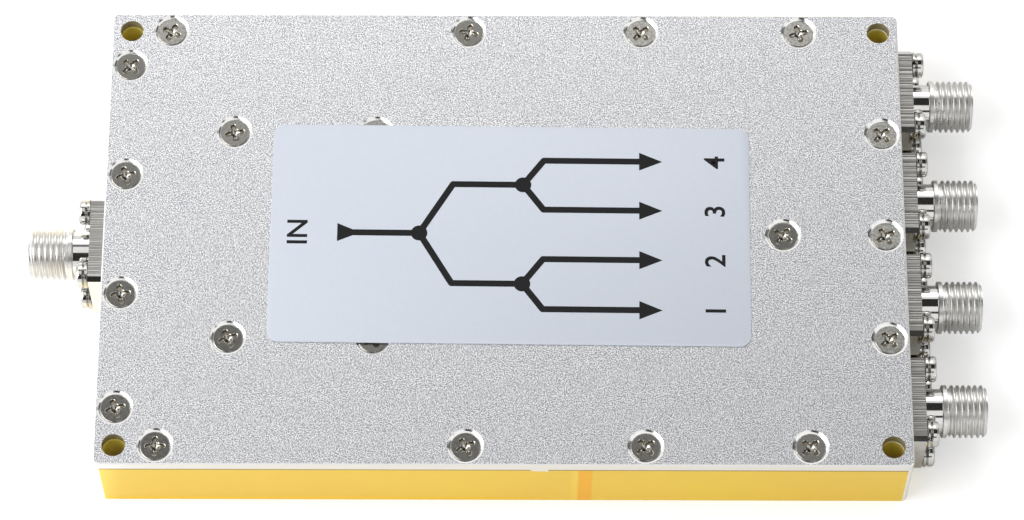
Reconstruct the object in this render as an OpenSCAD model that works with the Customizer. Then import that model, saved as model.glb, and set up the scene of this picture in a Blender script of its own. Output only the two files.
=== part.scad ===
// Coaxial power splitter: one input jack and four output jacks on a flat milled housing.
// The origin is at the middle of the underside.
// X runs from the input end to the output end, and Z is up, towards the cover.

/* [Housing] */
// Length of the housing, from the input end to the output end
body_l = 97; // [92:0.5:112]
// Width of the housing
body_w = 60; // [58:0.5:72]
// Height of the housing under its cover
body_h = 10; // [9.6:0.1:14]
// Radius of the upright corners of housing and cover
corner_r = 0.7; // [0.6:0.1:2]
// Broken edge round the underside
body_chamfer = 0.3; // [0.1:0.05:0.5]
// Thickness of the walls round the circuit pocket
wall_t = 5; // [4.6:0.1:7]
// Width of the pocket's input channel
channel_w = 18; // [17:0.5:19]
// Radius of the pocket's milled corners
pocket_r = 2.5; // [1:0.1:4]
// Width of the tongue between the two middle outputs
tongue_w = 7; // [5:0.1:8]
// Wall left between an inner screw and the pocket
post_wall = 4.2; // [3:0.1:5]

/* [Cover] */
// Thickness of the cover plate
cover_t = 1.5; // [1.4:0.1:3]
// Broken edge round the cover's upper side
cover_chamfer = 0.15; // [0.1:0.05:0.5]
// Distance of edge screws and corner holes from the outer edges
edge_inset = 2.4; // [2.2:0.1:3]
// Diameter of the four corner holes
corner_hole_d = 2.8; // [2:0.1:3.4]
// Broken edge of the corner holes where the housing meets the cover
corner_hole_chamfer = 0.3; // [0.1:0.05:0.4]

/* [Cover screws] */
// Diameter of the countersunk head
cover_head_d = 3.5; // [3:0.1:4]
// Upright rim of the countersunk head
cover_head_rim = 0.1; // [0.05:0.05:0.2]
// Depth of the head below the cover's surface
head_sunk = 0.25; // [0.05:0.05:0.4]
// Depth of the broken edge round a countersink
sink_edge_h = 0.12; // [0.05:0.01:0.2]
// Slope of that broken edge
sink_edge_slope = 30; // [25:1:40]
// Diameter of the shank
cover_shank_d = 2; // [1.6:0.1:2.2]
// Length of the screw, head and all
cover_screw_l = 6; // [4:0.5:8]
// Span of the cross recess
cover_cross_d = 2.1; // [1.4:0.1:2.4]
// Depth of the cross recess
cover_cross_h = 0.7; // [0.4:0.1:0.9]
// Width of the cross recess's wings
cross_w = 0.6; // [0.3:0.05:0.7]
// Share of the cross recess's span that is left at its bottom
cross_taper = 0.5; // [0.3:0.05:0.8]
// Turn from one driven screw's cross to the next
cross_turn = 37; // [0:1:89]
// First long-edge screw, from the input end
row_start = 7.3; // [6:0.1:12]
// Middle long-edge screws, from the housing's middle
row_middle = [-4.5, 16.8]; // [-10:0.1:22]
// Last long-edge screw, from the output end
row_end = 12.2; // [8:0.1:16]
// Inner input-end screws, from the housing's middle line
input_end_y = 7.9; // [7:0.1:9]
// Outer input-end screws, from the long edges
input_corner_y = 7.2; // [6:0.1:10]
// Inner screws beside the input channel, from the housing's middle
beside_x = [-33, -15.7]; // [-36:0.1:-14]
// Distance of those inner screws from the middle line
beside_y = 13.7; // [13.2:0.1:16]
// Screw in the tongue, from the housing's middle
tongue_x = 33.7; // [32:0.1:38]

/* [Label] */
// Length of the label
label_l = 58; // [40:0.5:62]
// Width of the label
label_w = 29; // [20:0.1:32]
// Thickness of the label
label_t = 0.15; // [0.1:0.01:0.4]
// Radius of the label's corners
label_r = 1.4; // [0.5:0.1:3]
// Shift of the label towards the outputs
label_x = 0.7; // [-2:0.1:3]
// Slant at which the label was stuck on
label_turn = -0.5; // [-2:0.1:2]

/* [Jacks] */
// Spacing of the output jacks
jack_pitch = 13.65; // [13:0.05:14.5]
// Height of the jacks' axes
jack_z = 5.4; // [5:0.1:6]
// Width of the flange
flange_w = 11.2; // [10.6:0.1:12.6]
// Height of the flange
flange_h = 9.2; // [8.6:0.1:10]
// Thickness of the flange
flange_t = 1.8; // [1.5:0.1:3]
// Chamfer at the flange's corners
flange_chamfer = 0.5; // [0.2:0.05:0.8]
// Diameter of the plain neck
neck_d = 5.4; // [5:0.1:5.8]
// Length of the neck
neck_l = 2.2; // [1:0.1:4]
// Diameter of the collar and of the thread
thread_d = 6.35; // [6.2:0.05:6.5]
// Length of the collar
collar_l = 0.6; // [0.3:0.1:1]
// Width of the groove between collar and thread
groove_l = 0.25; // [0.1:0.05:0.5]
// Depth of that groove
groove_h = 0.4; // [0.1:0.05:0.5]
// Length of the threaded barrel
thread_l = 4.5; // [3.5:0.1:8]
// Chamfer at the barrel's mouth
mouth_chamfer = 0.4; // [0.2:0.05:0.6]
// Diameter of the socket that takes the mating plug
socket_d = 4.6; // [4.5:0.05:4.7]
// Depth of that socket
socket_h = 1.9; // [1.7:0.05:2.2]
// Diameter of the insulator
insulator_d = 4.1; // [3.8:0.05:4.2]
// Diameter of the centre contact
contact_d = 1.27; // [1.1:0.01:1.4]
// Bore of the contact's socket
contact_bore_d = 0.93; // [0.9:0.01:0.98]
// Depth of that bore
contact_bore_h = 2.6; // [2:0.1:4]
// Width of the slots in the contact's socket
slot_w = 0.12; // [0.08:0.01:0.2]
// Length of those slots
slot_l = 2; // [1:0.1:2.4]
// Reach of the contact's pin into the pocket
pin_reach = 2.4; // [1.5:0.1:4]

/* [Flange screws] */
// Spacing of the flange holes across the housing
flange_hole_y = 8.4; // [8:0.1:9]
// Spacing of the flange holes in height
flange_hole_z = 6.2; // [6:0.1:6.6]
// Diameter of the pan head
pan_head_d = 3.1; // [2.6:0.1:3.4]
// Height of the pan head
pan_head_h = 1; // [0.9:0.05:1.6]
// Upright part of the pan head
pan_rim_h = 0.65; // [0.3:0.05:0.75]
// Diameter of the shank
pan_shank_d = 1.6; // [1.4:0.1:1.8]
// Length of the shank under the head of a flange screw
flange_screw_l = 5.8; // [4.5:0.1:6.5]
// Span of the pan head's cross recess
pan_cross_d = 1.7; // [1.2:0.1:2]
// Depth of the pan head's cross recess
pan_cross_h = 0.6; // [0.4:0.05:0.8]
// Thickness of the spring washer
washer_t = 0.55; // [0.3:0.05:0.8]
// Width of the spring washer's section
washer_w = 0.7; // [0.5:0.05:0.8]
// Width of the spring washer's split
washer_split = 0.35; // [0.2:0.05:0.6]
// Slant of the spring washer's split
washer_slant = 25; // [0:1:40]
// Turn from one spring washer's split to the next
split_turn = 67; // [0:1:180]

/* [Circuit] */
// Thickness of the laminate
board_t = 0.8; // [0.5:0.1:1.6]
// Thickness of the copper lines
trace_t = 0.1; // [0.05:0.01:0.2]
// Width of the feed and output lines
line_w = 2; // [1.6:0.1:2.4]
// Width of the curved quarter-wave lines
section_w = 1.2; // [0.6:0.1:1.6]
// Middle radius of the curved quarter-wave lines
section_r = 4; // [3.5:0.1:4.2]
// Gap between the two lines of a pair
pair_gap = 0.8; // [0.5:0.1:1.2]
// Sections between the input and the first branch
input_sections = 3; // [2:1:3]
// Sections in each of the two later branches
output_sections = 3; // [2:1:3]
// Length of the input's feed line
feed_l = 5; // [4.5:0.1:6]
// First branch's cross line, past the start of the wide pocket
branch_x = 4.4; // [3.8:0.1:5]
// Run from each cross line to the sections beside it
branch_run = 4.6; // [3:0.1:6]
// Length of a chip resistor, across its pair of lines
chip_l = 1.6; // [1.4:0.1:2]
// Width of a chip resistor
chip_w = 0.8; // [0.5:0.1:1.2]
// Height of a chip resistor
chip_h = 0.45; // [0.3:0.05:0.6]
// Solder under a pin
solder_t = 0.1; // [0.05:0.01:0.2]
// Radius of a solder joint
solder_r = 0.9; // [0.8:0.05:1]
// Length of a solder joint
solder_l = 1.8; // [1:0.1:2]
// Length of the board screws under the head
board_screw_l = 3; // [2:0.1:3.4]

/* [Clearances] */
// Clearance of a shank in its hole, on the diameter
hole_gap = 0.1; // [0.05:0.05:0.2]
// Clearance of a shank in the piece that it passes through, on the diameter
pass_gap = 0.2; // [0.1:0.05:0.3]
// Clearance of the insulator in the housing's wall, on the diameter
bore_gap = 0.1; // [0.05:0.05:0.3]
// Clearance between the board and the pocket's walls
board_gap = 0.2; // [0.1:0.05:0.4]
// Depth of a blind hole past the end of its screw
blind_gap = 0.3; // [0.1:0.1:0.6]

/* [Hidden] */
$fn = 48;
// A cut reaches this far past the face that it opens
over = 1;
// A tapered recess reaches this far past its face
taper_over = 0.1;

// Levels above the underside
cover_z = body_h;
top_z = body_h + cover_t;
trace_top_z = jack_z - contact_d / 2 - solder_t;
board_top_z = trace_top_z - trace_t;
pocket_z = board_top_z - board_t;

// The pocket in plan
pocket_in_x = -body_l / 2 + wall_t;
pocket_out_x = body_l / 2 - wall_t;
fork_x = beside_x[1] + cover_shank_d / 2 + post_wall;
fork_w = body_w - 2 * wall_t;

// Countersinks, heads and washers
cover_cone_h = (cover_head_d - cover_shank_d) / 2;
sink_d = cover_head_d + 2 * (head_sunk + cover_head_rim);
sink_edge_d = sink_d - 2 * sink_edge_h;
sink_edge_over = (sink_edge_h + over) / tan(sink_edge_slope);
cover_pass_d = cover_shank_d + pass_gap;
pan_dome_h = pan_head_h - pan_rim_h;
pan_dome_r = (pow(pan_head_d / 2, 2) + pow(pan_dome_h, 2)) / (2 * pan_dome_h);
washer_id = pan_shank_d + pass_gap;

// Lengths along a jack, from the housing's end face outwards
neck_z = flange_t;
collar_z = neck_z + neck_l;
groove_z = collar_z + collar_l;
barrel_z = groove_z + groove_l;
mouth_z = barrel_z + thread_l;
plane_z = mouth_z - socket_h;

// Each jack's name, its end of the housing and its place across it
JACKS = [["input", -1, 0],
    ["output_1", 1, -1.5 * jack_pitch],
    ["output_2", 1, -0.5 * jack_pitch],
    ["output_3", 1, 0.5 * jack_pitch],
    ["output_4", 1, 1.5 * jack_pitch]];

// Where the cover screws are
row_x = [-body_l / 2 + row_start, row_middle[0], row_middle[1], body_l / 2 - row_end];
edge_x = body_l / 2 - edge_inset;
edge_y = body_w / 2 - edge_inset;
cover_screw_places = concat(
    [for (x = row_x, s = [-1, 1]) [x, s * edge_y]],
    [for (y = [input_end_y, body_w / 2 - input_corner_y], s = [-1, 1]) [-edge_x, s * y]],
    [for (n = [-1, 0, 1]) [edge_x, n * jack_pitch]],
    [for (x = beside_x, s = [-1, 1]) [x, s * beside_y]],
    [[tongue_x, 0]]);
corner_places = [for (sx = [-1, 1], sy = [-1, 1]) [sx * edge_x, sy * edge_y]];
flange_hole_places = [for (sy = [-1, 1], sz = [-1, 1]) [sy * flange_hole_y / 2, sz * flange_hole_z / 2]];

// The branching line in plan
section_l = 2 * section_r;
first_x = pocket_in_x + feed_l;
first_end_x = first_x + input_sections * section_l;
cross_x = fork_x + branch_x;
second_x = cross_x + branch_run;
second_end_x = second_x + output_sections * section_l;
fan_x = second_end_x + branch_run;
chip_places = concat(
    [for (k = [1 : input_sections]) [first_x + k * section_l, 0]],
    [for (k = [1 : output_sections], s = [-1, 1]) [second_x + k * section_l, s * jack_pitch]]);

// Where the board screws are: beside the feed, beside the cross line and between the outputs
feed_screw_y = channel_w / 2 - board_gap - pan_head_d / 2 - hole_gap;
board_screw_places = concat(
    [for (s = [-1, 1]) [first_x - pan_head_d / 2, s * feed_screw_y]],
    [for (s = [-1, 1]) [cross_x, s * (jack_pitch + line_w / 2 + pan_head_d)]],
    [for (s = [-1, 1]) [fan_x + line_w / 2 + pan_head_d, s * jack_pitch]]);

// A rectangle with rounded corners, from x0 to x1 and centred on the middle line
module rounded_span(x0, x1, w, r) {
    translate([x0 + r, -w / 2]) square([x1 - x0 - 2 * r, w]);
    translate([x0, -w / 2 + r]) square([x1 - x0, w - 2 * r]);
    for (x = [x0 + r, x1 - r], y = [-w / 2 + r, w / 2 - r])
        translate([x, y]) circle(r = r);
}

// A rectangle with chamfered corners
module chamfered_plan(l, w, c) {
    x = l / 2;
    y = w / 2;
    polygon([[c - x, -y], [x - c, -y], [x, c - y], [x, y - c],
             [x - c, y], [c - x, y], [-x, y - c], [-x, c - y]]);
}

// A plate with rounded corners whose upper edge is broken all round
module broken_plate(l, w, t, r, c) {
    rotate([90, 0, 90]) broken_bar(w, l - 2 * r, t, c);
    rotate([90, 0, 0]) broken_bar(l, w - 2 * r, t, c);
    for (sx = [-1, 1], sy = [-1, 1])
        translate([sx * (l / 2 - r), sy * (w / 2 - r), 0])
            rotate_extrude() polygon([[0, 0], [r, 0], [r, t - c], [r - c, t], [0, t]]);
}

// A bar of that section, whose two upper edges are broken
module broken_bar(across, along, t, c) {
    side = across / 2;
    linear_extrude(height = along, center = true)
        polygon([[-side, 0], [side, 0], [side, t - c], [side - c, t], [c - side, t], [-side, t - c]]);
}

// A cross recess that narrows towards its bottom, cut down from z = 0
module cross_recess(span, depth) {
    intersection() {
        union()
            for (a = [0, 90])
                rotate(a) translate([-span / 2, -cross_w / 2, -depth]) cube([span, cross_w, depth + over]);
        translate([0, 0, -depth]) cylinder(d1 = cross_taper * span, d2 = span, h = depth + taper_over);
    }
}

// A pan-head screw whose head stands on z = 0
module pan_screw(length) {
    difference() {
        union() {
            translate([0, 0, -length]) cylinder(d = pan_shank_d, h = length + pan_rim_h);
            cylinder(d = pan_head_d, h = pan_rim_h);
            intersection() {
                translate([0, 0, pan_head_h - pan_dome_r]) sphere(r = pan_dome_r);
                translate([0, 0, pan_rim_h]) cylinder(d = pan_head_d, h = pan_head_h);
            }
        }
        translate([0, 0, pan_head_h]) cross_recess(pan_cross_d, pan_cross_h);
    }
}

// Turns a shape built up along Z so that it points out of a jack's end of the housing
module at_jack(jack) {
    translate([jack[1] * body_l / 2, jack[2], jack_z]) rotate([90, 0, jack[1] * 90]) children();
}

// The pocket's plan, drawn in by a gap on every side
module pocket_plan(gap) {
    difference() {
        union() {
            rounded_span(pocket_in_x + gap, fork_x + 2 * pocket_r, channel_w - 2 * gap, pocket_r - gap);
            rounded_span(fork_x + gap, pocket_out_x - gap, fork_w - 2 * gap, pocket_r - gap);
        }
        translate([tongue_x, 0]) circle(d = tongue_w + 2 * gap);
        translate([tongue_x, -tongue_w / 2 - gap])
            square([pocket_out_x - tongue_x + over, tongue_w + 2 * gap]);
    }
}

module housing() {
    color("goldenrod")
    difference() {
        translate([0, 0, body_h]) mirror([0, 0, 1])
            broken_plate(body_l, body_w, body_h, corner_r, body_chamfer);
        translate([0, 0, pocket_z]) linear_extrude(height = body_h) pocket_plan(0);
        for (p = corner_places)
            translate([p[0], p[1], 0]) {
                translate([0, 0, -over]) cylinder(d = corner_hole_d, h = body_h + 2 * over);
                translate([0, 0, body_h - corner_hole_chamfer])
                    cylinder(d1 = corner_hole_d, d2 = corner_hole_d + 2 * (corner_hole_chamfer + over),
                             h = corner_hole_chamfer + over);
            }
        for (p = cover_screw_places)
            translate([p[0], p[1], top_z - head_sunk - cover_screw_l - blind_gap])
                cylinder(d = cover_shank_d + hole_gap, h = cover_screw_l + over);
        for (p = board_screw_places)
            translate([p[0], p[1], board_top_z - board_screw_l - blind_gap])
                cylinder(d = pan_shank_d + hole_gap, h = board_screw_l);
        for (jack = JACKS)
            at_jack(jack) {
                translate([0, 0, -wall_t - over])
                    cylinder(d = insulator_d + bore_gap, h = wall_t + 2 * over);
                for (p = flange_hole_places)
                    translate([p[0], p[1], flange_t + washer_t - flange_screw_l - blind_gap])
                        cylinder(d = pan_shank_d + hole_gap, h = flange_screw_l);
            }
    }
}

module cover() {
    color("silver")
    translate([0, 0, cover_z])
    difference() {
        broken_plate(body_l, body_w, cover_t, corner_r, cover_chamfer);
        for (p = corner_places)
            translate([p[0], p[1], -over]) cylinder(d = corner_hole_d, h = cover_t + 2 * over);
        for (p = cover_screw_places)
            translate([p[0], p[1], 0]) {
                translate([0, 0, -over]) cylinder(d = cover_pass_d, h = cover_t + over);
                translate([0, 0, cover_t - sink_d / 2])
                    cylinder(d1 = 0, d2 = sink_d + 2 * over, h = sink_d / 2 + over);
                translate([0, 0, cover_t - sink_edge_h])
                    cylinder(d1 = sink_edge_d, d2 = sink_edge_d + 2 * sink_edge_over,
                             h = sink_edge_h + over);
            }
    }
}

module cover_screws() {
    color("dimgray")
    for (i = [0 : len(cover_screw_places) - 1])
        translate([cover_screw_places[i][0], cover_screw_places[i][1], top_z - head_sunk])
        rotate(i * cross_turn)
        difference() {
            union() {
                translate([0, 0, -cover_screw_l])
                    cylinder(d = cover_shank_d, h = cover_screw_l - cover_head_rim);
                translate([0, 0, -cover_head_rim - cover_cone_h])
                    cylinder(d1 = cover_shank_d, d2 = cover_head_d, h = cover_cone_h);
                translate([0, 0, -cover_head_rim]) cylinder(d = cover_head_d, h = cover_head_rim);
            }
            cross_recess(cover_cross_d, cover_cross_h);
        }
}

module label() {
    color("white")
    translate([label_x, 0, top_z]) rotate(label_turn) linear_extrude(height = label_t)
        rounded_span(-label_l / 2, label_l / 2, label_w, label_r);
}

module jack_shell() {
    color("lightgray")
    difference() {
        union() {
            linear_extrude(height = flange_t) chamfered_plan(flange_w, flange_h, flange_chamfer);
            cylinder(d = neck_d, h = barrel_z);
            translate([0, 0, collar_z]) cylinder(d = thread_d, h = collar_l);
            translate([0, 0, groove_z]) cylinder(d = thread_d - 2 * groove_h, h = groove_l);
            translate([0, 0, barrel_z]) cylinder(d = thread_d, h = thread_l - mouth_chamfer);
            translate([0, 0, mouth_z - mouth_chamfer])
                cylinder(d1 = thread_d, d2 = thread_d - 2 * mouth_chamfer, h = mouth_chamfer);
        }
        translate([0, 0, -over]) cylinder(d = insulator_d, h = mouth_z);
        translate([0, 0, plane_z]) cylinder(d = socket_d, h = socket_h + over);
        for (p = flange_hole_places)
            translate([p[0], p[1], -over]) cylinder(d = pan_shank_d + pass_gap, h = flange_t + 2 * over);
    }
}

module jack_dielectric() {
    color("ivory")
    difference() {
        translate([0, 0, -wall_t]) cylinder(d = insulator_d, h = wall_t + plane_z);
        translate([0, 0, -wall_t - over]) cylinder(d = contact_d, h = wall_t + plane_z + 2 * over);
    }
}

module jack_contact() {
    color("gold")
    difference() {
        translate([0, 0, -wall_t - pin_reach]) cylinder(d = contact_d, h = wall_t + pin_reach + plane_z);
        translate([0, 0, plane_z - contact_bore_h]) cylinder(d = contact_bore_d, h = contact_bore_h + over);
        for (a = [0, 90])
            rotate(a) translate([-contact_d, -slot_w / 2, plane_z - slot_l])
                cube([2 * contact_d, slot_w, slot_l + over]);
    }
}

module flange_screws() {
    color("whitesmoke")
    for (j = [0 : len(JACKS) - 1], i = [0 : len(flange_hole_places) - 1])
        at_jack(JACKS[j])
        translate([flange_hole_places[i][0], flange_hole_places[i][1], flange_t + washer_t])
        rotate((j + i) * cross_turn) pan_screw(flange_screw_l);
}

module spring_washers() {
    color("gainsboro")
    for (j = [0 : len(JACKS) - 1], i = [0 : len(flange_hole_places) - 1])
        at_jack(JACKS[j])
        translate([flange_hole_places[i][0], flange_hole_places[i][1], flange_t])
        rotate((j + i) * split_turn)
        difference() {
            cylinder(d = washer_id + 2 * washer_w, h = washer_t);
            translate([0, 0, -over]) cylinder(d = washer_id, h = washer_t + 2 * over);
            translate([0, 0, washer_t / 2]) rotate([washer_slant, 0, 0])
                translate([0, -washer_split / 2, -over]) cube([washer_id + washer_w, washer_split, 2 * over]);
        }
}

module circuit_board() {
    color("seagreen")
    translate([0, 0, pocket_z]) linear_extrude(height = board_t)
        difference() {
            pocket_plan(board_gap);
            for (p = board_screw_places)
                translate(p) circle(d = pan_shank_d + pass_gap);
        }
}

// One curved line of a pair: half a ring on the side that the sign gives
module curved_line(side) {
    reach = section_r + section_w;
    difference() {
        circle(r = section_r + section_w / 2);
        circle(r = section_r - section_w / 2);
        translate([-reach, side > 0 ? -2 * reach : 0]) square(2 * reach);
    }
}

// A row of paired curved lines that are joined only where they start
module section_row(x0, y0, count) {
    for (k = [0 : count - 1], s = [-1, 1])
        translate([x0 + (k + 0.5) * section_l, y0 + s * pair_gap / 2]) curved_line(s);
    translate([x0 - section_w / 2, y0 - pair_gap / 2 - section_w / 2])
        square([section_w, pair_gap + section_w]);
}

// The lines that leave a row's end, turn across and run on at another place
module fan_out(x0, y0, turn_x, y1, x1) {
    side = sign(y1 - y0);
    start_y = y0 + side * pair_gap / 2;
    translate([x0, side > 0 ? start_y : start_y - line_w]) square([turn_x - x0, line_w]);
    translate([turn_x - line_w / 2, min(start_y, y1)]) square([line_w, abs(y1 - start_y)]);
    translate([turn_x, y1 - line_w / 2]) square([x1 - turn_x, line_w]);
    translate([turn_x, y1]) circle(d = line_w);
}

module divider_traces() {
    color("darkorange")
    translate([0, 0, board_top_z]) linear_extrude(height = trace_t) {
        translate([pocket_in_x + board_gap, -line_w / 2]) square([feed_l - board_gap, line_w]);
        section_row(first_x, 0, input_sections);
        for (s = [-1, 1]) {
            fan_out(first_end_x, 0, cross_x, s * jack_pitch, second_x);
            section_row(second_x, s * jack_pitch, output_sections);
            for (d = [-1, 1])
                fan_out(second_end_x, s * jack_pitch, fan_x,
                    s * jack_pitch + d * jack_pitch / 2, pocket_out_x - board_gap);
        }
    }
}

module isolation_resistors() {
    color("black")
    for (p = chip_places)
        translate([p[0] - chip_w / 2, p[1] - chip_l / 2, trace_top_z]) cube([chip_w, chip_l, chip_h]);
}

module solder_joints() {
    color("lightsteelblue")
    for (jack = JACKS)
        at_jack(jack) translate([0, 0, -wall_t - pin_reach - solder_t])
        difference() {
            intersection() {
                translate([0, -contact_d / 2 - solder_t, 0]) cylinder(r = solder_r, h = solder_l);
                translate([-solder_r, -contact_d / 2 - solder_t, 0])
                    cube([2 * solder_r, 2 * solder_r, solder_l]);
            }
            translate([0, 0, solder_t]) cylinder(d = contact_d, h = solder_l);
        }
}

module board_screws() {
    color("gray")
    for (p = board_screw_places)
        translate([p[0], p[1], board_top_z]) pan_screw(board_screw_l);
}

housing();
cover();
cover_screws();
label();
for (jack = JACKS) {
    at_jack(jack) jack_shell();
    at_jack(jack) jack_dielectric();
    at_jack(jack) jack_contact();
}
flange_screws();
spring_washers();
circuit_board();
divider_traces();
isolation_resistors();
solder_joints();
board_screws();
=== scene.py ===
"""Looks of a coaxial power splitter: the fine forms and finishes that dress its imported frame.

Sizes are in millimetres and carry the names of the part's source. Objects are in metres, in the frame's axes:
X runs from the input end to the output end, and Z is up, towards the cover.
"""

import logging
import math
import random
from abc import ABC, abstractmethod
from dataclasses import dataclass, field
from enum import Enum, IntEnum
from functools import partial, reduce
from typing import Any, Callable, Sequence

import bmesh
import bpy
from mathutils import Matrix, Vector
from mathutils.geometry import delaunay_2d_cdt


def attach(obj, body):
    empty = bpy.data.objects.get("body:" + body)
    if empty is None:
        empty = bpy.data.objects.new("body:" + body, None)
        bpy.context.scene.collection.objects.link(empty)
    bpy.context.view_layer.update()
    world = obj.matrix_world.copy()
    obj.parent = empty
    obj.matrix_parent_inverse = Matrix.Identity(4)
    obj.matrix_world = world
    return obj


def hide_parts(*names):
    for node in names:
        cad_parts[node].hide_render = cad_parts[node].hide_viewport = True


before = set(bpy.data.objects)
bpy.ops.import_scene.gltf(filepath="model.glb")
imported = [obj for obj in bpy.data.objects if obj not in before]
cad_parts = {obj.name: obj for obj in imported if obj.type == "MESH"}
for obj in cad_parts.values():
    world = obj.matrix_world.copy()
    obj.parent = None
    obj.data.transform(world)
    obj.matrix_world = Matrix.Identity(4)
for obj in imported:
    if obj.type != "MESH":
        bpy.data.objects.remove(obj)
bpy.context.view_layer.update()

LOG = logging.getLogger("splitter")
MM = 0.001
BODY = "root"
IMAGE_W = 1024
SENSOR_W = 36.0
WHITE = "#FFFFFF"
# Points closer than this are one point
MERGE = 1e-5
# The kind of triangulation that keeps what lies inside the outlines, and how close its points may come
INSIDE_ONLY, CLOSEST = 1, 1e-6
# The font's capital at size 1, how much bolder the figures are drawn, and the steps of their curves
CAPITAL_H, BOLDER, CURVE_STEPS = 0.69, 0.018, 4
# A screw's tip: its radius as a share of the shank's, and its length
TIP, TIP_L = 0.7, 0.3
# Where the middle of a rounded edge lies, as a share of the edge's width
EASE = 0.3

Ring = list[Vector]
Span = tuple[float, float]
Triple = tuple[float, float, float]
Quad = tuple[float, float, float, float]
Node = bpy.types.Node
Source = bpy.types.Node | bpy.types.NodeSocket
Adder = Callable[..., bpy.types.Node]


def linear(colour: str) -> Quad:
    """Turns an sRGB hex value to linear light.

    Args:
        colour: The value as #RRGGBB.

    Returns:
        Red, green, blue and alpha, from 0 to 1.
    """
    parts = [int(colour[i:i + 2], 16) / 255 for i in (1, 3, 5)]
    red, green, blue = (p / 12.92 if p <= 0.04045 else ((p + 0.055) / 1.055) ** 2.4 for p in parts)
    return red, green, blue, 1.0


def per(size: float) -> float:
    """Texture scale at which a pattern's feature has that size in millimetres."""
    return 1.0 / (size * MM)


def feed(node: Node, links: dict[str | int, Source]) -> None:
    """Links a node's inputs.

    Args:
        node: The node.
        links: What feeds each input, by the input's name or number. It is an output, or a node whose first
            output in use is meant.
    """
    for key, source in links.items():
        if isinstance(source, bpy.types.Node):
            source = next(socket for socket in source.outputs if socket.enabled)
        node.id_data.links.new(source, node.inputs[key])


def add_node(tree: bpy.types.NodeTree, kind: str, settings: dict[str | int, Any] | None = None,
             links: dict[str | int, Source] | None = None) -> Node:
    """Adds one shader node with its settings and its links.

    Args:
        tree: The tree that the node goes into.
        kind: The node's type, without the words that all of them start with.
        settings: Values by the name of a property, or by the name or number of an input.
        links: What feeds each input, by the input's name or number.

    Returns:
        The new node.
    """
    node = tree.nodes.new("ShaderNode" + kind)
    for key, value in (settings or {}).items():
        if isinstance(key, int) or key in node.inputs:
            node.inputs[key].default_value = value
        else:
            setattr(node, key, value)
    feed(node, links or {})
    return node


class Slot(Enum):
    """The record's material slots, one for each kind of new piece."""

    COVER_SCREWS = "cover_screws"
    LABEL = "label"
    JACK_SHELL = "jack_shell"
    FLANGE_SCREWS = "flange_screws"
    SPRING_WASHERS = "spring_washers"


class Port(Enum):
    """Each jack's name, its end of the housing and its place across it, in pitches."""

    INPUT = ("input", -1, 0.0)
    OUTPUT_1 = ("output_1", 1, -1.5)
    OUTPUT_2 = ("output_2", 1, -0.5)
    OUTPUT_3 = ("output_3", 1, 0.5)
    OUTPUT_4 = ("output_4", 1, 1.5)


class ScrewFace(IntEnum):
    """Numbers of a screw's finishes."""

    PLATED = 0
    STAINED = 1


class ShellFace(IntEnum):
    """Numbers of a jack shell's finishes."""

    TURNED = 0
    MILLED = 1
    BURNISHED = 2


@dataclass(frozen=True)
class Finish(ABC):
    """A surface finish that becomes one material."""

    name: str

    def material(self) -> bpy.types.Material:
        """Gives the finish's material, which is made on first use.

        Returns:
            The material.
        """
        made = bpy.data.materials.get(self.name)
        if made is None:
            made = bpy.data.materials.new(self.name)
            made.use_nodes = True
            tree = made.node_tree
            self.dress(partial(add_node, tree), tree.nodes["Principled BSDF"])
        return made

    @abstractmethod
    def dress(self, add: Adder, shader: Node) -> None:
        """Sets the shader and links the patterns.

        Args:
            add: Adds a node to the material's tree.
            shader: Its Principled shader.
        """


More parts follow.
